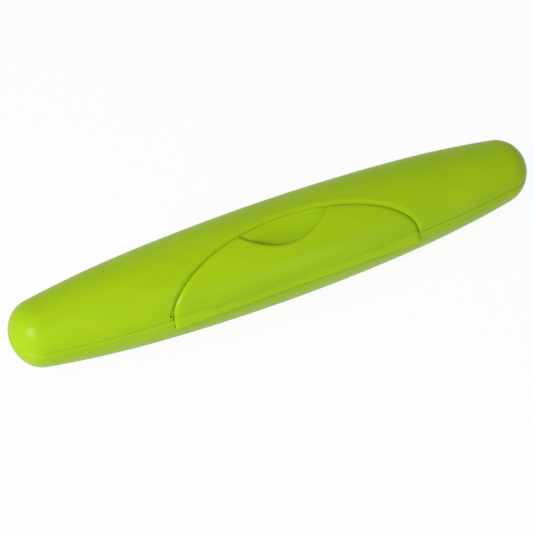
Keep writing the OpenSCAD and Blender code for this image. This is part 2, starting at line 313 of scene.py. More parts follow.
def make_object(name, parts, finish):
    """A mesh object from closed parts in millimetres, with their faces turned outward."""
    bm = bmesh.new()
    for points, faces in parts:
        verts = [bm.verts.new(p) for p in in_metres(points)]
        for f in faces:
            corners = [verts[i] for i in f]
            if len(set(corners)) > 2:
                bm.faces.new(corners)
        bmesh.ops.remove_doubles(bm, verts=verts, dist=MESH_WELD)
    bmesh.ops.dissolve_degenerate(bm, edges=bm.edges, dist=SLIVER)
    loose = [v for v in bm.verts if not v.link_faces]
    bmesh.ops.delete(bm, geom=loose, context="VERTS")
    bmesh.ops.recalc_face_normals(bm, faces=bm.faces)
    mesh = bpy.data.meshes.new(name)
    bm.to_mesh(mesh)
    bm.free()
    mesh.polygons.foreach_set("use_smooth", [True] * len(mesh.polygons))
    mesh.set_sharp_from_angle(angle=SHARP_ABOVE)
    mesh.materials.append(finish)
    ob = bpy.data.objects.new(name, mesh)
    scene.collection.objects.link(ob)
    return ob


def triangles(points, edges):
    """Flat points joined into triangles that keep the given edges."""
    made = delaunay_2d_cdt([Vector(p) for p in points], edges, [], 0, TINY)
    return np.array([tuple(v) for v in made[0]]), np.array(made[2])


def chain(points, row, edges, closed=False):
    """Adds a row of points to the list, joined by edges."""
    start = len(points)
    points.extend([tuple(p) for p in row])
    last = len(points) - 1
    edges.extend((i, i + 1) for i in range(start, last))
    if closed:
        edges.append((last, start))


def quarter(width, steps, first=0.0):
    """Distances from a rounded edge at even steps of its quarter turn."""
    return [first + width * (1 - math.cos(math.pi / 2 * i / steps)) for i in range(steps + 1)]


# Materials

GREEN_DEEP = (0.315, 0.495, 0.0, 1)
GREEN_LIGHT = (0.375, 0.565, 0.002, 1)
STEEL_DARK = (0.47, 0.475, 0.48, 1)
STEEL_LIGHT = (0.62, 0.625, 0.63, 1)
NOISE_LOW = 0.25
NOISE_HIGH = 0.75


def fill(made, values):
    """Sets plain values on a node's inputs."""
    for key, value in values.items():
        made.inputs[key].default_value = value


def node(tree, kind, values, **settings):
    """A new node with these settings, and with plain values on its inputs."""
    made = tree.nodes.new(kind)
    for key, value in settings.items():
        setattr(made, key, value)
    fill(made, values)
    return made


def noise(tree, vector, scale, detail=3.0, roughness=0.5, distortion=0.0):
    values = {"Scale": scale, "Detail": detail, "Roughness": roughness, "Distortion": distortion}
    made = node(tree, "ShaderNodeTexNoise", values)
    tree.links.new(vector, made.inputs["Vector"])
    return made.outputs["Fac"]


def spread(tree, value, low, high):
    """A noise value brought from its usual range to the range low to high."""
    values = {"From Min": NOISE_LOW, "From Max": NOISE_HIGH, "To Min": low, "To Max": high}
    made = node(tree, "ShaderNodeMapRange", values)
    tree.links.new(value, made.inputs["Value"])
    return made.outputs["Result"]


def math_node(tree, operation, a, b):
    made = node(tree, "ShaderNodeMath", {}, operation=operation)
    for socket, value in zip(made.inputs, (a, b)):
        if isinstance(value, (int, float)):
            socket.default_value = value
        else:
            tree.links.new(value, socket)
    return made.outputs[0]


def stretched(tree, vector, scale):
    """The place on the object, scaled along its axes to draw a texture out."""
    made = node(tree, "ShaderNodeVectorMath", {1: scale}, operation="MULTIPLY")
    tree.links.new(vector, made.inputs[0])
    return made.outputs[0]


def between(tree, share, first, second):
    """The colour at that share of the way from the first colour to the second."""
    made = node(tree, "ShaderNodeMix", {"A": first, "B": second}, data_type="RGBA")
    tree.links.new(share, made.inputs["Factor"])
    return made.outputs["Result"]


def bump(tree, height, strength, depth, under=None):
    """A normal that shows the height, depth metres deep, over the normal under it."""
    made = node(tree, "ShaderNodeBump", {"Strength": strength, "Distance": depth})
    tree.links.new(height, made.inputs["Height"])
    if under:
        tree.links.new(under, made.inputs["Normal"])
    return made.outputs["Normal"]


def new_group(name, outputs):
    """A node group with these outputs, the place on the object and the group's output node."""
    group = bpy.data.node_groups.new(name, "ShaderNodeTree")
    for title, kind in outputs.items():
        group.interface.new_socket(name=title, in_out="OUTPUT", socket_type=kind)
    place = group.nodes.new("ShaderNodeTexCoord").outputs["Object"]
    return group, place, group.nodes.new("NodeGroupOutput")


def moulded_surface():
    """Colour, roughness, gloss and normal of a satin polypropylene moulding."""
    group, place, out = new_group(
        "moulded_surface",
        {
            "Color": "NodeSocketColor",
            "Roughness": "NodeSocketFloat",
            "Gloss": "NodeSocketFloat",
            "Normal": "NodeSocketVector",
        },
    )
    # Broad clouds and long flow marks in the colour, and a fine speckle
    clouded = stretched(group, place, (0.45, 1.0, 1.0))
    cloud = noise(group, clouded, scale=60.0, detail=2.0, distortion=0.6)
    drawn = stretched(group, place, (0.12, 1.0, 1.0))
    flow = noise(group, drawn, scale=420.0, roughness=0.55, distortion=0.4)
    fine = noise(group, place, scale=5200.0, detail=2.0, roughness=0.6)
    tone = math_node(group, "ADD", spread(group, cloud, -0.4, 0.4), spread(group, flow, -0.1, 0.1))
    tone = math_node(group, "ADD", tone, spread(group, fine, -0.12, 0.12))
    share = math_node(group, "ADD", tone, 0.5)
    colour = between(group, share, GREEN_DEEP, GREEN_LIGHT)
    group.links.new(colour, out.inputs["Color"])

    # Handled spots are a little rougher and less glossy
    handled = noise(group, place, scale=150.0, detail=4.0, roughness=0.6, distortion=0.8)
    rough = spread(group, handled, 0.34, 0.38)
    rough = math_node(group, "ADD", rough, spread(group, fine, -0.03, 0.03))
    group.links.new(rough, out.inputs["Roughness"])
    group.links.new(spread(group, handled, 0.29, 0.22), out.inputs["Gloss"])

    # Shallow sink marks under a fine grain
    sink = noise(group, place, scale=130.0, detail=1.0)
    wave = bump(group, sink, strength=0.5, depth=0.00004)
    grain = bump(group, fine, strength=0.35, depth=0.00001, under=wave)
    group.links.new(grain, out.inputs["Normal"])
    return group


def turned_steel():
    """Colour, roughness and normal of a drawn steel pin with fine rings round it."""
    group, place, out = new_group(
        "turned_steel",
        {
            "Color": "NodeSocketColor",
            "Roughness": "NodeSocketFloat",
            "Normal": "NodeSocketVector",
        },
    )
    ringed = stretched(group, place, (1.0, 0.06, 0.06))
    rings = noise(group, ringed, scale=9000.0, roughness=0.6)
    cloud = noise(group, place, scale=700.0, roughness=0.6, distortion=0.5)
    colour = between(group, spread(group, cloud, 0.0, 1.0), STEEL_DARK, STEEL_LIGHT)
    group.links.new(colour, out.inputs["Color"])
    rough = spread(group, rings, 0.2, 0.38)
    rough = math_node(group, "ADD", rough, spread(group, cloud, -0.04, 0.05))
    group.links.new(rough, out.inputs["Roughness"])
    group.links.new(bump(group, rings, strength=0.4, depth=0.00001), out.inputs["Normal"])
    return group


def material(name, group, settings):
    """A material with plain settings on its shader and the group's outputs linked to it."""
    made = bpy.data.materials.new(name)
    made.use_nodes = True
    tree = made.node_tree
    shader = tree.nodes["Principled BSDF"]
    fill(shader, settings)
    surface = tree.nodes.new("ShaderNodeGroup")
    surface.node_tree = group
    tree.links.new(surface.outputs["Color"], shader.inputs["Base Color"])
    tree.links.new(surface.outputs["Roughness"], shader.inputs["Roughness"])
    tree.links.new(surface.outputs["Normal"], shader.inputs["Normal"])
    if "Gloss" in surface.outputs:
        tree.links.new(surface.outputs["Gloss"], shader.inputs["Coat Weight"])
    return made


case_plastic = material(
    "case_plastic",
    moulded_surface(),
    {
        "IOR": 1.49,
        "Specular IOR Level": 0.03,
        "Coat Roughness": 0.36,
        "Coat IOR": 1.5,
        "Subsurface Weight": 0.12,
        "Subsurface Radius": (0.7, 1.0, 0.1),
        "Subsurface Scale": 0.0012,
    },
)
pin_steel = material("pin_steel", turned_steel(), {"Metallic": 1.0})

# Lid, with the run and softness of its forms and the spacing of its points

GROOVE_WALL = 0.02
EDGE_AT_SEAM = 0.15
EDGE_GROWS = 1.0
EDGE_RUN = 4.5
DISH_SOFT = 0.5
DISH_SOFT_BEHIND = 0.6
BOSS_EDGE = 0.5
BOSS_RUN = 1.3
LID_EDGE_STEPS = 7
ENDS_PER_MM = 20
HOLE_RINGS = (0.47, 0.51, 0.55)
OUTLINE_ANGLES = np.radians(np.arange(-37, 37.01, 0.33))
HOLE_S = float(way_to(-LIP_HALF - HOLE_AWAY))
HOLE_T = math.asin(HOLE_HEIGHT / (LID_RISE / HALF_WIDTH * float(outline(HOLE_S)[1]))) * AROUND


def dish_values():
    """The finger dish's axis [y, z], and the radius of its bow along the case."""
    flat = LID_RISE / HALF_WIDTH
    floor = HALF_WIDTH - RECESS
    turn = math.atan(flat * math.tan(DISH_TILT))
    way = np.array([-math.cos(DISH_TILT), math.sin(DISH_TILT)])
    start = floor * np.array([-math.cos(turn), flat * math.sin(turn)])
    return start + (DISH_RADIUS - DISH_DEPTH) * way, (DISH_LENGTH / 2) ** 2 / (2 * DISH_DEPTH)


DISH_MIDDLE, DISH_CURVE = dish_values()


def dish_press(points, grow, soft):
    """How far the finger dish presses into a surface at these points."""
    x = np.clip(points[..., 0], -DISH_CURVE, DISH_CURVE)
    reach = DISH_RADIUS - DISH_CURVE + np.sqrt(DISH_CURVE**2 - x**2) + grow
    off = np.hypot(points[..., 1] - DISH_MIDDLE[0], points[..., 2] - DISH_MIDDLE[1])
    return soft_above(reach - off, soft)


def relief_depth(s, t):
    """Depth of the small round hole beside the flap's left corner."""
    off = np.hypot(s - HOLE_S, t - HOLE_T)
    return HOLE_DEPTH * smooth_step((HOLE_RADIUS - off) / HOLE_WALL)


def from_edge(s, t):
    """Distance from the edge of the flap's recess, positive outside it."""
    return ring_distance(s, t / AROUND, OUTLINE_Y, FLAP_OUTLINE) - EDGE_PLAY


def lid_inset(s, t):
    """How deep the outer skin lies: recess, rounded edges, finger dish and small hole."""
    phi = t / AROUND
    e = from_edge(s, t)
    height = body(s, phi, 0.0, LID_RISE)[..., 2] - SEAM_GAP
    # The recess's edge fades towards the seam
    full = EDGE_AT_SEAM + (1 - EDGE_AT_SEAM) * smooth_step((height - EDGE_GROWS) / EDGE_RUN)
    edge = round_over(e, LID_EDGE) * full
    # The foot of its wall is round, more so where the flap's notch opens the dish
    in_dish = smooth_step((-ring_distance(s, phi, NOTCH_CENTRE, NOTCH_RADIUS) - 0.6) / 2.0)
    foot = FLOOR_EDGE + (DISH_EDGE - FLOOR_EDGE) * in_dish
    e_floor = np.clip(-(e + GROOVE_WALL), 0.0, foot)
    floor = RECESS - foot + np.sqrt(np.maximum(foot**2 - (foot - e_floor) ** 2, 0.0))
    across = np.clip(-e / GROOVE_WALL, 0, 1)
    inset = np.where(e >= 0, edge, (1 - across) * LID_EDGE[1] * full + across * floor)
    # The dish fades in from the wall
    fade = smooth_step(-(e + 0.1) / 1.2)
    p = body(s, phi, RECESS, LID_RISE)
    inset = inset + np.where(e < -0.1, dish_press(p, 0.0, DISH_SOFT) * fade, 0.0)
    inset = inset + round_over(height + TINY, SEAM_EDGE_LID)
    return inset + relief_depth(s, t)


def low_angle(s, height, inset, rise):
    """Phi at which the form reaches that height above the seam."""
    _, out, _, out_part = outline(s)
    radius = np.maximum(out - inset * out_part, 1e-3)
    return np.arcsin(np.clip(height / (rise / HALF_WIDTH * radius), 0.0, 0.97))


def lid_low(s):
    """The lid's lower edge at the front, as t. At the rear it is HIGH less that."""
    return low_angle(s, SEAM_GAP, 0.0, LID_RISE) * AROUND


def lid_inner(s, t):
    """The inner skin's points, with the wall behind the recess and the dish."""
    low_out = low_angle(s, SEAM_GAP, 0.0, LID_RISE)
    low_in = low_angle(s, SEAM_GAP, WALL, LID_RISE)
    part = (t / AROUND - low_out) / (math.pi - 2 * low_out)
    phi = low_in + part * (math.pi - 2 * low_in)
    e = ring_distance(s, phi, OUTLINE_Y, FLAP_OUTLINE) - FLAP_PLAY - WALL
    boss = smooth_step((BOSS_EDGE - e) / BOSS_RUN)
    behind = RECESS + RECESS_WALL
    pressed = dish_press(body(s, phi, behind, LID_RISE), RECESS_WALL, DISH_SOFT_BEHIND)
    depth = WALL + (behind - WALL) * boss
    return body(s, phi, depth + pressed * boss, LID_RISE)


def shell(tris, outer, inner):
    """A closed part from an outer and an inner skin on the same triangles."""
    n = len(outer)
    faces = [tuple(f) for f in tris] + [(f[2] + n, f[1] + n, f[0] + n) for f in tris]
    seen = {}
    for f in tris:
        for e in ((f[0], f[1]), (f[1], f[2]), (f[2], f[0])):
            seen.setdefault(tuple(sorted(e)), []).append(e)
    for pair in seen.values():
        if len(pair) == 1:
            a, b = pair[0]
            faces.append((b, a, a + n, b + n))
    return np.concatenate([outer, inner]), faces


def stations(extra):
    """Stations along the case, finer at the tips, with the given ones among them."""
    step = 1.25
    fine_from = 90
    nearest = 0.3
    fine = np.linspace(fine_from, REACH - 0.1, 26)
    regular = np.concatenate([np.arange(0, fine_from, step), fine])
    regular = np.unique(np.concatenate([-regular, regular]))
    keep = [v for v in regular if np.min(np.abs(np.array(extra) - v)) > nearest]
    return np.unique(np.concatenate([keep, extra]))


def falling_run(row, on):
    """First and last index of the run round a row's middle that falls steadily on both sides."""
    step = 1e-4
    first = last = len(row) // 2
    while first > 0 and on[first - 1] and (row[first - 1] < row[first] - step).all():
        first -= 1
    while last < len(row) - 1 and on[last + 1] and row[last + 1][1] < row[last][1] - step:
        if row[last + 1][0] <= row[last][0] + step:
            break
        last += 1
    return first, last


def lid_rings(points, edges):
    """Adds the rows that follow the recess's edge, and gives where each meets the seam."""
    beyond = (0.3, 0.7)
    inmost = -1.25
    clear = 0.05
    offsets = quarter(LID_EDGE[0], LID_EDGE_STEPS, EDGE_PLAY)
    offsets += [EDGE_PLAY + LID_EDGE[0] + d for d in beyond]
    offsets += [EDGE_PLAY - d for d in quarter(DISH_EDGE, LID_EDGE_STEPS, GROOVE_WALL)] + [inmost]
    ends = []
    for offset in sorted(set(offsets)):
        row, on = ring_row(OUTLINE_Y, FLAP_OUTLINE, offset, OUTLINE_ANGLES)
        on &= row[:, 1] > lid_low(row[:, 0]) + clear
        a, b = falling_run(row, on)
        feet = []
        for point, inner in ((row[a], row[a + 1]), (row[b], row[b - 1])):
            lean = (point[0] - inner[0]) / (inner[1] - point[1])
            s = float(point[0] + lean * (point[1] - lid_low(point[0])))
            s = round(s * ENDS_PER_MM) / ENDS_PER_MM
            feet.append((s, float(lid_low(s))))
            ends.append(s)
        chain(points, [feet[0], *row[a : b + 1], feet[1]], edges)
    return ends


def lid_part():
    """The lid's skins, on triangles that are finer at the seam, the recess and the hole."""
    points = []
    edges = []
    columns = stations(lid_rings(points, edges))
    rear = stations([0.0])
    chain(points, [(s, float(lid_low(s))) for s in columns], edges)
    chain(points, [(s, HIGH - float(lid_low(s))) for s in rear], edges)
    for s in (columns[0], columns[-1]):
        low = float(lid_low(s))
        chain(points, [(s, t) for t in np.linspace(low, HIGH - low, 9)], edges)
    for depth in quarter(SEAM_EDGE_LID[0], 4)[1:]:
        for places, front in ((columns[1:-1], True), (rear[1:-1], False)):
            scale = np.maximum(outline(places)[1] / HALF_WIDTH, LEAST_SCALE)
            t = lid_low(places) + depth / scale
            chain(points, np.stack([places, t if front else HIGH - t], -1), edges)

    # A plain field, left open at the recess's edge, and a field in the dish that stands a
    # little askew, so that its points don't share circles
    inside = -1.7
    outside = LID_EDGE[0] + 1.0
    step = 0.8
    for s in rear[np.abs(rear) < columns[-1] - 0.2]:
        scale = float(outline(s)[1]) / HALF_WIDTH
        start = float(lid_low(s)) + 1.3 / max(scale, LEAST_SCALE)
        for t in np.linspace(start, HIGH - start, max(8, int(44 * scale) + 8)):
            if not (inside < from_edge(s, t) < outside and t < HIGH / 2 + 8):
                points.append((s, t))
    for s in np.arange(-19, 19.01, step):
        for t in np.arange(14, 27.5, step):
            if from_edge(s, t) < inside:
                points.append((s + 0.003 * t, t + 0.002 * s))

    turns = np.linspace(0, 2 * math.pi, 17)[:-1]
    for radius in HOLE_RINGS:
        ring = [(HOLE_S + radius * math.cos(a), HOLE_T + radius * math.sin(a)) for a in turns]
        chain(points, ring, edges, closed=True)

    domain, tris = triangles(points, edges)
    middle = domain[tris].mean(1)
    low = lid_low(middle[:, 0])
    keep = (middle[:, 1] > low) & (middle[:, 1] < HIGH - low)
    keep &= np.abs(middle[:, 0]) < columns[-1]
    s, t = domain[:, 0], domain[:, 1]
    outer = body(s, t / AROUND, lid_inset(s, t), LID_RISE)
    return shell(tris[keep], outer, lid_inner(s, t))


def around(contour, bore, middle, first, last, edge):
    """A block between two stations along X: a contour around an axis, with a bore on it."""
    turns = [math.atan2(z, y) for y, z in contour]
    n = len(contour)
    points = []
    for x in (first, last):
        points += [(x, middle[0] + y, middle[1] + z) for y, z in contour]
        points += [
            (x, middle[0] + bore * math.cos(a), middle[1] + bore * math.sin(a)) for a in turns
        ]
    faces = []
    for i in range(n):
        j = (i + 1) % n
        faces.append((i, j, n + j, n + i))
        faces.append((2 * n + i, 2 * n + j, 3 * n + j, 3 * n + i))
        faces.append((i, j, 2 * n + j, 2 * n + i))
        faces.append((n + i, n + j, 3 * n + j, 3 * n + i))

    def outer_end(a, b):
        near = min(math.hypot(p.y - middle[0], p.z - middle[1]) for p in (a, b))
        return abs(a.x - b.x) < 0.01 and near > bore + 0.15

    return rounded(points, faces, edge, outer_end)


def circle(radius, first=0.0, last=360.0, steps=32):
    """Points on a circle, or on its arc from one angle to another in degrees."""
    turns = np.radians(np.linspace(first, last, steps + 1))
    if last - first > 359.9:
        turns = turns[:-1]
    return [(radius * math.cos(a), radius * math.sin(a)) for a in turns]


def surface_out(x, height, rise):
    """How far out the case's form is at that x and height."""
    radius = float(outline(way_to(x))[1])
    part = height / (rise / HALF_WIDTH * radius)
    return radius * math.sqrt(max(1 - part * part, 0.0))


HINGE_HALF = KNUCKLE_MIDDLE / 2 + KNUCKLE_GAP + KNUCKLE_OUTER
HINGE_OUT = float(outline(way_to(HINGE_SPACING / 2 - HINGE_HALF))[1])
HINGE_Y = HINGE_OUT + KNUCKLE_RADIUS + HINGE_CLEAR


def knuckle(x, width, side, rise):
    """One hinge knuckle and its web. Side is 1 on the lid and -1 on the base."""
    lift = SEAM_GAP + 0.1
    middle = HINGE_SPACING / 2
    root = surface_out(middle, 0.0, rise) - WALL / 2
    foot = surface_out(middle, WEB_HEIGHT, rise) - WALL / 2
    slip = math.degrees(math.asin(lift / KNUCKLE_RADIUS))
    turn = circle(KNUCKLE_RADIUS, 180 - slip, 360 + 45, 30)
    start = np.array(turn[-1])
    top = np.array([foot - HINGE_Y, WEB_HEIGHT])
    low = np.array([root - HINGE_Y, lift])
    web = [start * (1 - w) + top * w for w in (0.3, 0.65, 1.0)]
    back = [top * (1 - w) + low * w for w in (0.5, 1.0)]
    contour = [(y, side * z) for y, z in turn + web + back]
    half = width / 2
    return around(contour, KNUCKLE_BORE, (HINGE_Y, 0.0), x - half, x + half, KNUCKLE_EDGE)


PIVOT = (-PIVOT_FRONT, -PIVOT_DROP)


def lug(x):
    """A lug of the lid that the flap turns on, with its stem up into the recess's floor."""
    root = PIVOT_FRONT - surface_out(LUG_OFFSET, 0.0, LID_RISE) + RECESS
    stem = root + 0.8 * RECESS_WALL
    stem_low = 1.0
    stem_top = 1.8
    stem_turn = 63
    contour = circle(LUG_RADIUS, stem_turn, 360, 26)
    contour += [(stem, stem_low), (stem, stem_top), (root + 0.1, stem_top)]
    half = LUG_WIDTH / 2
    return around(contour, LUG_BORE, PIVOT, x - half, x + half, LUG_EDGE)


lid_parts = [lid_part()]
for side in (-1, 1):
    lid_parts.append(knuckle(side * HINGE_SPACING / 2, KNUCKLE_MIDDLE, 1, LID_RISE))
    lid_parts.append(lug(side * LUG_OFFSET))
lid_body = make_object("lid_body", lid_parts, case_plastic)
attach(lid_body, "lid")
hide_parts("lid_shell")

# Latch flap

FOLD = 3.2
LIP_BACK = -PIVOT_FRONT + 0.6
SLOT_BACK = -PIVOT_FRONT - 1.07
SLOT_HALF = LUG_WIDTH / 2 + 0.2
END_S = float(way_to(LIP_HALF))
FLAP_EDGE_STEPS = 5
NOTCH_TURN = 0.2
LIP_SHARES = (0.04, 0.3, 0.6, 0.85)
FLAP_ANGLES = np.radians(np.arange(-36, 36.01, 0.4))
NOTCH_ANGLES = np.pi + np.radians(np.arange(-75, 75.01, 1.5))


def crease_t(s):
    """The crease between the flap's panel and its lip, as t."""
    x = outline(s)[0]
    height = CREASE_MIDDLE + (CREASE_END - CREASE_MIDDLE) * (np.abs(x) / LIP_HALF) ** 3
    return low_angle(s, height, 0.0, LID_RISE) * AROUND


def fold_ends(s):
    """The lip's crease and its lower front edge, at the way s."""
    top = body(s, crease_t(s) / AROUND, CREASE_SINK, LID_RISE)
    bottom = top.copy()
    bottom[..., 1] = -LIP_FACE - LIP_FLARE
    bottom[..., 2] = -LIP_LOW
    return top, bottom


def flap_distances(s, v):
    """Distances inside the flap's round outline, its notch and its ends.

    v is t on the panel, and runs on below the crease over the lip, FOLD long.
    """
    far = 9.0
    phi = np.maximum(v, crease_t(s)) / AROUND
    to_d = -ring_distance(s, phi, OUTLINE_Y, FLAP_OUTLINE)
    to_notch = ring_distance(s, phi, NOTCH_CENTRE, NOTCH_RADIUS)
    folded = v < crease_t(s)
    return np.where(folded, far, to_d), to_notch, END_S - np.abs(s)


def flap_outer(s, v):
    """The outer skin's points, with rounded edges, the sunk crease and the lip."""
    to_d, to_notch, to_end = flap_distances(s, v)
    top, bottom = fold_ends(s)
    down = np.clip((crease_t(s) - v) / FOLD, 0, 1)
    way = bottom - top
    length = np.linalg.norm(way, axis=-1)
    to_bottom = (1 - down) * length
    inset = np.maximum(round_over(to_d, FLAP_EDGE), round_over(to_end, END_EDGE))
    inset = np.maximum(inset, round_over(to_notch, NOTCH_EDGE))
    inset = np.maximum(inset, round_over(to_bottom, LIP_EDGE))
    out = np.stack([0 * length, way[..., 2], -way[..., 1]], -1) / length[..., None]
    folded = top + way * down[..., None] - out * inset[..., None]
    folded[..., 1] += way[..., 1] * (down**LIP_CURL - down)
    folded[..., 2] = np.maximum(folded[..., 2], -LIP_LOW)
    sink = CREASE_SINK * (1 - np.clip((v - crease_t(s)) / CREASE_REACH, 0, 1)) ** 2
    panel = body(s, np.maximum(v, crease_t(s)) / AROUND, inset + sink, LID_RISE)
    return np.where((down > 0)[..., None], folded, panel)


def flap_inner(s, v):
    """The inner skin's points, turned down at the notch, and set back on the lip at the lugs."""
    tc = crease_t(s)
    phi = np.maximum(v, tc) / AROUND
    to_notch = ring_distance(s, phi, NOTCH_CENTRE, NOTCH_RADIUS)
    to_d = -ring_distance(s, phi, OUTLINE_Y, FLAP_OUTLINE)
    at_notch = smooth_step(1 - to_notch / 1.2)
    off_outline = smooth_step((to_d - 0.6) / 1.5)
    panel = body(s, phi, FLAP_THICKNESS + NOTCH_TURN * at_notch * off_outline, LID_RISE)
    down = np.clip((tc - v) / FOLD, 0, 1)
    in_slot = np.abs(np.abs(outline(s)[0]) - LUG_OFFSET) < SLOT_HALF
    back = np.where(in_slot, SLOT_BACK, LIP_BACK)
    blend = np.where(in_slot, smooth_step(down * 20), smooth_step(down * 2))
    folded = panel.copy()
    folded[..., 1] = panel[..., 1] * (1 - blend) + back * blend
    folded[..., 2] = panel[..., 2] * (1 - down) - LIP_LOW * down
    return np.where((down > 0)[..., None], folded, panel)


def cut_row(row, test):
    """The runs of a row where test is above zero, each ended where it reaches zero."""
    values = test(row[:, 0], row[:, 1])

    def zero_before(i):
        w = values[i - 1] / (values[i - 1] - values[i])
        return row[i - 1] * (1 - w) + row[i] * w

    runs = []
    run = []
    for i, point in enumerate(row):
        if values[i] >= 0:
            if not run and i and values[i - 1] < 0:
                run.append(zero_before(i))
            run.append(point)
        elif run:
            run.append(zero_before(i))
            runs.append(np.array(run))
            run = []
    if run:
        runs.append(np.array(run))
    return [r for r in runs if len(r) > 1]


def flap_edges(points, edges):
    """Adds the rows that follow the flap's round outline, its notch and its two ends."""
    edges_in = (FLAP_EDGE, NOTCH_EDGE, END_EDGE)
    steps = [quarter(width, FLAP_EDGE_STEPS) for width, _ in edges_in]
    for depth, notch_depth, end_depth in zip(*steps):

        def room(s, v):
            _, to_notch, to_end = flap_distances(s, v)
            return np.minimum(to_notch - notch_depth, to_end - end_depth)

        def under(s, v):
            return flap_distances(s, v)[0] - depth

        tops = {}
        row, on = ring_row(OUTLINE_Y, FLAP_OUTLINE, -depth, FLAP_ANGLES)
        for run in cut_row(row[on], room):
            chain(points, run, edges)
            for point in (run[0], run[-1]):
                if abs(abs(point[0]) - (END_S - end_depth)) < 0.02:
                    tops[1 if point[0] > 0 else -1] = float(point[1])
        row, on = ring_row(NOTCH_CENTRE, NOTCH_RADIUS, notch_depth, NOTCH_ANGLES)
        for run in cut_row(row[on], under):
            chain(points, run, edges)
        for side in (-1, 1):
            s = (END_S - end_depth) * side
            tc = float(crease_t(s))
            lip = np.linspace(tc - FOLD, tc, 6)[:-1]
            panel = np.linspace(tc, tops.get(side, tc + 1.5), 5)
            chain(points, [(s, v) for v in (*lip, *panel)], edges)


def flap_part():
    """The flap's skins, on triangles that are finer at its edges, crease and lip."""
    points = []
    edges = []
    flap_edges(points, edges)
    slots = [
        float(way_to(side * LUG_OFFSET + end + step))
        for side in (-1, 1)
        for end in (-SLOT_HALF, SLOT_HALF)
        for step in (-0.01, 0.01)
    ]
    columns = stations([0.0, -END_S, END_S])
    inside = np.unique(np.concatenate([columns[np.abs(columns) <= END_S + TINY], slots]))
    tc = crease_t(inside)
    top, bottom = fold_ends(inside)
    length = np.linalg.norm(bottom - top, axis=-1)
    chain(points, np.stack([inside, tc], -1), edges)
    for depth in quarter(LIP_EDGE[0], 3):
        chain(points, np.stack([inside, tc - FOLD * (1 - depth / length)], -1), edges)
    for part in LIP_SHARES:
        chain(points, np.stack([inside, tc - FOLD * part], -1), edges)

    # A plain field inside the rows of the edges
    clear_end = 0.95
    clear_d = 1.35
    clear_notch = 1.0
    for s in inside[np.abs(inside) <= END_S - clear_end]:
        low = float(crease_t(s))
        for v in (low + 0.35, *np.arange(low + 1.0, 32, 0.9)):
            to_d, to_notch, _ = flap_distances(s, v)
            if to_d > clear_d and to_notch > clear_notch:
                points.append((s, v))

    domain, tris = triangles(points, edges)
    s, v = domain[:, 0], domain[:, 1]
    middle = domain[tris].mean(1)
    to_d, to_notch, to_end = flap_distances(middle[:, 0], middle[:, 1])
    keep = (to_d > 0) & (to_notch > 0) & (to_end > 0)
    keep &= (middle[:, 1] > crease_t(middle[:, 0]) - FOLD) & (middle[:, 1] < 40)
    return shell(tris[keep], flap_outer(s, v), flap_inner(s, v))


def catch_part():
    """The thin rib behind the lip that catches in the base."""
    front = -PIVOT_FRONT - 0.75
    back = front + CATCH_THICKNESS
    low = -LIP_DROP - 1.0
    corners = [(y, z) for y in (front, back) for z in (low, -PIVOT_DROP)]
    points = [(x, y, z) for x in (-CATCH_HALF, CATCH_HALF) for y, z in corners]
    faces = [(0, 1, 3, 2), (4, 6, 7, 5), (0, 4, 5, 1), (2, 3, 7, 6), (0, 2, 6, 4), (1, 5, 7, 3)]

    def lower(a, b):
        return min(a.z, b.z) < -PIVOT_DROP - 0.1

    return rounded(points, faces, CATCH_EDGE, lower)


flap_parts = [flap_part(), catch_part()]
for side in (-1, 1):
    for inner in (-1, 1):
        near = side * LUG_OFFSET + inner * SLOT_HALF
        far = side * LUG_OFFSET + inner * BARREL_REACH
        first, last = sorted((near, far))
        barrel = circle(BARREL_RADIUS)
        flap_parts.append(around(barrel, BARREL_BORE, PIVOT, first, last, BARREL_EDGE))
flap_body = make_object("flap_body", flap_parts, case_plastic)
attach(flap_body, "flap")
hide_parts("latch_flap")

# Base

FOOT_EDGE = 1.2
TROUGH = math.hypot(LIP_FACE + LIP_FLARE - PIVOT_FRONT, LIP_LOW - PIVOT_DROP) + LIP_SWEEP
TROUGH_END = LIP_HALF + 0.06
TROUGH_LAST = math.radians(304)
TROUGH_EDGE = 0.15
TROUGH_WALL = 0.6
CATCH_ROOM = CATCH_HALF + 0.3
LUG_ROOM = LUG_WIDTH / 2 + 0.25
BLOCK_END = LIP_HALF + WALL
RIM_END = LIP_HALF + 3
RIM_OUT = WALL + 0.2
RIM_IN = RIM_OUT + 0.8
RIM_HEIGHT = 1.2
RIM_ROUND = 0.15
DEEP = BASE_DROP / HALF_WIDTH
RIM_FOOT = -1.0
INNER_START = -2.2
SEAM_SHARES = (1.0, 0.75, 0.5, 0.3, 0.14, 0.0)
SKIN_STEPS = (12, 6, 4, 4, 6, 12)
TROUGH_STEPS = 11
FRONT_COUNT = 24
KIND_STEP = 0.004

# The last of the trough's inner wall, out from the pivot and up to the seam
WAY_UP = {
    "open": [(1.6, -3.0), (1.7, -1.0), (1.5, -0.3), (1.35, 0.0)],
    "lug": [(1.6, -3.0), (2.09, -2.9), (2.09, -0.3), (2.09, 0.0)],
    "catch": [
        (TROUGH * math.cos(a), TROUGH * math.sin(a) - PIVOT_DROP)
        for a in (math.radians(322), math.radians(341), 2 * math.pi)
    ]
    + [(2.0, 0.0)],
}


def base_point(s, inset, height, side):
    """A point of the base's form at that inset and height. Side is -1 at the front."""
    x, out, along_part, out_part = outline(s)
    radius = max(float(out - inset * out_part), 0.0)
    low = -DEEP * radius * 0.999
    z = max(height, low) if height < 0 else height
    part = min(z, 0.0) / (DEEP * radius) if radius > TINY else 0.0
    return (float(x - inset * along_part), side * radius * math.sqrt(1 - part * part), z)


def soft_floor(depth, floor):
    """The smaller of depth and floor, with a round turn between them."""
    near = np.maximum(FOOT_EDGE - np.abs(depth - floor), 0.0) / FOOT_EDGE
    return np.minimum(depth, floor) - near * near * FOOT_EDGE / 4


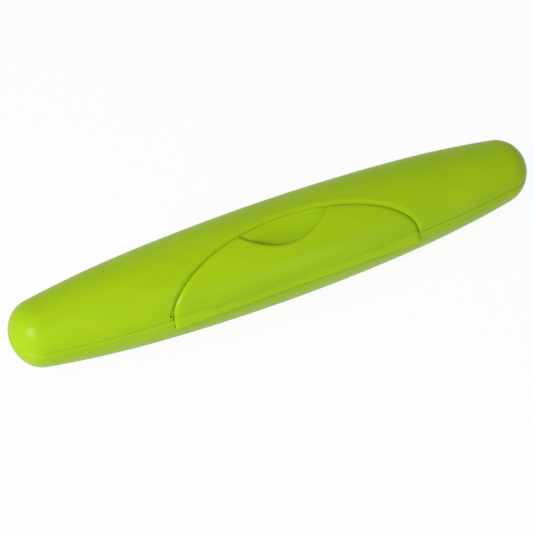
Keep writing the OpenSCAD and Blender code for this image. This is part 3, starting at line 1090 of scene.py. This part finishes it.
def skin(s, inset, first, last):
    """Points round the underside from the angle first at the front to last at the rear.

    They stand closer where the flat foot starts and ends.
    """
    x, out, along_part, out_part = (float(v) for v in outline(s))
    radius = max(out - inset * out_part, 0.0)
    floor = SEAM - inset
    deep = DEEP * radius
    foot = math.asin(min(floor / deep, 1.0)) if deep > TINY else math.pi / 2
    half = min(0.06, (math.pi / 2 - foot) / 2 + 0.01)
    knots = [first, max(foot - half, first), min(foot + half, math.pi / 2), math.pi / 2]
    knots += [math.pi - knots[2], min(math.pi - foot + half, last), last]
    phi = []
    for a, b, n in zip(knots[:-1], knots[1:], SKIN_STEPS):
        phi += list(np.linspace(a, b, n + 1)[:-1])
    phi = np.array(phi + [last])
    z = -soft_floor(deep * np.sin(phi), floor)
    return [(x - inset * along_part, -radius * math.cos(p), float(h)) for p, h in zip(phi, z)]


def rim_chain(s, side, rim):
    """From the outer skin up over the edge and the rim, or the plain edge, to the inner skin."""
    width = SEAM_EDGE_BASE[0]
    way = []
    for d in SEAM_SHARES:
        way.append((float(round_over(d * width, SEAM_EDGE_BASE)), -width * d))
    if rim:
        shoulder = RIM_HEIGHT - RIM_ROUND
        way += [(RIM_OUT, 0), (RIM_OUT, shoulder), (RIM_OUT + RIM_ROUND, RIM_HEIGHT)]
        way += [(RIM_IN - RIM_ROUND, RIM_HEIGHT), (RIM_IN, shoulder), (RIM_IN, RIM_FOOT)]
    else:
        way += [(WALL, 0), (WALL, -0.5)]
    way.append((WALL, INNER_START))
    return [base_point(s, d, z, side) for d, z in way]


def trough_chain(s, kind):
    """From the outer skin over the trough's wall to the inner skin, at the front."""
    x = float(outline(s)[0])
    back = -PIVOT_FRONT + TROUGH + TROUGH_WALL
    floor = -PIVOT_DROP - TROUGH - RECESS_WALL
    if kind == "block":
        points = rim_chain(s, -1, False)[: len(SEAM_SHARES)]
    else:
        top = -PIVOT_DROP
        for _ in range(8):
            reach = surface_out(x, top, BASE_DROP) - PIVOT_FRONT
            top = -PIVOT_DROP - math.sqrt(max(TROUGH**2 - reach**2, 0.0))
        points = [base_point(s, 0.0, top - TROUGH_EDGE, -1), base_point(s, 0.04, top - 0.05, -1)]
        first = math.atan2(top + PIVOT_DROP, -reach) + 2 * math.pi + 0.06
        for a in np.linspace(first, TROUGH_LAST, TROUGH_STEPS):
            y = -PIVOT_FRONT + TROUGH * math.cos(a)
            points.append((x, y, -PIVOT_DROP + TROUGH * math.sin(a)))
        points += [(x, y - PIVOT_FRONT, z) for y, z in WAY_UP[kind]]
    points += [(x, back - 0.1, 0.0), (x, back, -0.1)]
    points += [(x, back, floor + 1), (x, back - 1, floor)]
    points.append(base_point(s, WALL, floor, -1))
    return points


def base_loop(s, kind):
    """The base's closed section at the way s. Every one has the same number of points."""
    rear = rim_chain(s, 1, True)
    if kind in ("rim", "plain"):
        front = rim_chain(s, -1, kind == "rim")
    else:
        front = trough_chain(s, kind)
    _, out, _, out_part = (float(v) for v in outline(s))

    def angle(point, inset):
        radius = max(out - inset * out_part, TINY)
        return math.asin(min(-min(point[2], 0.0) / (DEEP * radius), 0.999))

    outer = skin(s, 0.0, angle(front[0], 0.0), math.pi - angle(rear[0], 0.0))
    inner = skin(s, WALL, angle(front[-1], WALL), math.pi - angle(rear[-1], WALL))
    front = front + [front[-1]] * (FRONT_COUNT - len(front))
    return outer + rear[1:] + inner[::-1][1:-1] + front[::-1]


def kind_at(x):
    """What stands at the front of the base at that x."""
    x = abs(x)
    if x > RIM_END:
        return "rim"
    if x > BLOCK_END:
        return "plain"
    if x > TROUGH_END:
        return "block"
    if abs(x - LUG_OFFSET) < LUG_ROOM:
        return "lug"
    return "catch" if x < CATCH_ROOM else "open"


def base_part():
    """The base as one strip of closed sections, two of them wherever its front changes."""
    changes = (CATCH_ROOM, LUG_OFFSET - LUG_ROOM, LUG_OFFSET + LUG_ROOM)
    ways = [float(way_to(x)) for x in (*changes, TROUGH_END, BLOCK_END, RIM_END)]
    loops = []
    for s in stations(sorted([-w for w in ways] + ways + [-REACH, REACH])):
        s = float(s)
        x = float(outline(s)[0])
        before = kind_at(x - 0.01)
        after = kind_at(x + 0.01)
        if before == after:
            loops.append(base_loop(s, after))
        else:
            loops.append(base_loop(s - KIND_STEP, before))
            loops.append(base_loop(s + KIND_STEP, after))
    n = len(loops[0])
    points = np.array(loops).reshape(-1, 3)
    faces = []
    for i in range(len(loops) - 1):
        for j in range(n):
            k = (j + 1) % n
            faces.append((i * n + j, (i + 1) * n + j, (i + 1) * n + k, i * n + k))
    return points, faces


def rest_part(x):
    """One rib with a hollow that the brush lies in."""
    floor = WALL - SEAM
    top = floor + REST_HEIGHT
    radius = float(outline(way_to(x))[1]) - WALL / 2
    sides = []
    for z in np.linspace(floor - 0.4, top, 6):
        sides.append((radius * math.sqrt(max(1 - (z / (DEEP * radius)) ** 2, 0.0)), float(z)))
    centre = floor + BRUSH_LIFT + BRUSH_RADIUS
    reach = math.acos((centre - top) / BRUSH_RADIUS)
    hollow = [
        (BRUSH_RADIUS * math.sin(a), centre - BRUSH_RADIUS * math.cos(a))
        for a in np.linspace(reach, -reach, 25)
    ]
    contour = sides + hollow + [(-y, z) for y, z in sides[::-1]]
    n = len(contour)
    flat, tris = triangles(contour, [(i, (i + 1) % n) for i in range(n)])
    middle = flat[tris].mean(1)
    solid = np.hypot(middle[:, 0], middle[:, 1] - centre) > BRUSH_RADIUS - 0.01
    tris = tris[solid & (middle[:, 1] < top)]
    skins = [[(x + half, y, z) for y, z in flat] for half in (-REST_HALF, REST_HALF)]
    points, faces = shell(tris, *skins)

    def upper(a, b):
        return abs(a.x - b.x) < 0.01 and min(a.z, b.z) > floor

    return rounded(points, faces, REST_EDGE, upper)


base_parts = [base_part()] + [rest_part(x) for x in (-REST_OFFSET, 0, REST_OFFSET)]
for side in (-1, 1):
    for outer in (-1, 1):
        x = side * HINGE_SPACING / 2 + outer * (HINGE_HALF - KNUCKLE_OUTER / 2)
        base_parts.append(knuckle(x, KNUCKLE_OUTER, -1, BASE_DROP))
base_body = make_object("base_body", base_parts, case_plastic)
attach(base_body, "base")
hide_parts("base_shell")

for name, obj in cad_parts.items():
    obj.data.materials.clear()
    obj.data.materials.append(pin_steel if "pin" in name else case_plastic)

# Camera, with its focal length and shift in pixels of the picture

PICTURE = 533
FOCAL = 1749.304
SHIFT = (-12.358, -19.712)
SENSOR = 36
DISTANCE = 0.644927
BACK = Vector((-0.3142, -0.6335, 0.7071)).normalized()
TARGET = Vector((0, 0, SEAM * METRES))


def look_from(ob, way, distance):
    """Puts an object that way and distance from the target, looking at it."""
    ob.location = TARGET + way * distance
    ob.rotation_mode = "QUATERNION"
    ob.rotation_quaternion = (-way).to_track_quat("-Z", "Y")


camera_data = bpy.data.cameras.new("camera")
camera_data.sensor_width = SENSOR
camera_data.lens = FOCAL / PICTURE * SENSOR
camera_data.shift_x = SHIFT[0] / PICTURE
camera_data.shift_y = SHIFT[1] / PICTURE
camera_data.clip_start = 0.01
camera_data.clip_end = 20
camera = bpy.data.objects.new("camera", camera_data)
scene.collection.objects.link(camera)
look_from(camera, BACK, DISTANCE)
scene.camera = camera

# Floor and light

WHITE = (1, 1, 1, 1)
FLOOR_HALF = 3.0
FLOOR_COLOUR = (0.88, 0.88, 0.88, 1)
FLOOR_WHITE = 0.93
SOFT_LIGHT = 0.42


def seen_ray(tree):
    """1 for rays that should meet plain white: camera, glossy and transmission rays."""
    paths = tree.nodes.new("ShaderNodeLightPath").outputs
    seen = math_node(tree, "MAXIMUM", paths["Is Camera Ray"], paths["Is Glossy Ray"])
    return math_node(tree, "MAXIMUM", seen, paths["Is Transmission Ray"])


def mixed(tree, share, first, second, output):
    """Mixes two shaders by that share and links them to the output node."""
    mix = tree.nodes.new("ShaderNodeMixShader")
    tree.links.new(share, mix.inputs[0])
    tree.links.new(first.outputs[0], mix.inputs[1])
    tree.links.new(second.outputs[0], mix.inputs[2])
    tree.links.new(mix.outputs[0], tree.nodes[output].inputs["Surface"])


def make_floor():
    """A large sheet of pale paper that keeps the case's shadow."""
    mesh = bpy.data.meshes.new("floor")
    s = FLOOR_HALF
    mesh.from_pydata([(-s, -s, 0), (s, -s, 0), (s, s, 0), (-s, s, 0)], [], [(0, 1, 2, 3)])
    ob = bpy.data.objects.new("floor", mesh)
    scene.collection.objects.link(ob)
    made = bpy.data.materials.new("floor_paper")
    made.use_nodes = True
    tree = made.node_tree
    paper = tree.nodes["Principled BSDF"]
    fill(paper, {"Base Color": FLOOR_COLOUR, "Roughness": 0.9, "Specular IOR Level": 0.1})
    glow = node(tree, "ShaderNodeEmission", {"Color": WHITE, "Strength": 1.0})
    share = math_node(tree, "MULTIPLY", seen_ray(tree), FLOOR_WHITE)
    mixed(tree, share, paper, glow, "Material Output")
    mesh.materials.append(made)


make_floor()


def area_light(name, direction, distance, size, power):
    """A soft light that looks at the object from that direction."""
    light = bpy.data.lights.new(name, "AREA")
    light.energy = power
    light.shape = "RECTANGLE"
    light.size = size[0]
    light.size_y = size[1]
    ob = bpy.data.objects.new(name, light)
    scene.collection.objects.link(ob)
    look_from(ob, Vector(direction).normalized(), distance)


area_light("key_light", (-1.0, -0.4, 0.68), distance=0.9, size=(0.27, 0.27), power=5.7)
area_light("fill_light", (-0.1, -0.77, 0.63), distance=1.0, size=(0.4, 0.3), power=0.45)
area_light("front_light", (0.3, -1.0, 0.1), distance=1.1, size=(0.5, 0.16), power=0.8)
area_light("right_light", (1.0, -0.35, 0.35), distance=1.2, size=(0.4, 0.4), power=0.15)

world = bpy.data.worlds.new("studio")
scene.world = world
world.use_nodes = True
sky = world.node_tree
soft = sky.nodes["Background"]
fill(soft, {"Color": WHITE, "Strength": SOFT_LIGHT})
white = node(sky, "ShaderNodeBackground", {"Color": WHITE, "Strength": 1.0})
mixed(sky, seen_ray(sky), soft, white, "World Output")

scene.view_settings.view_transform = "Standard"
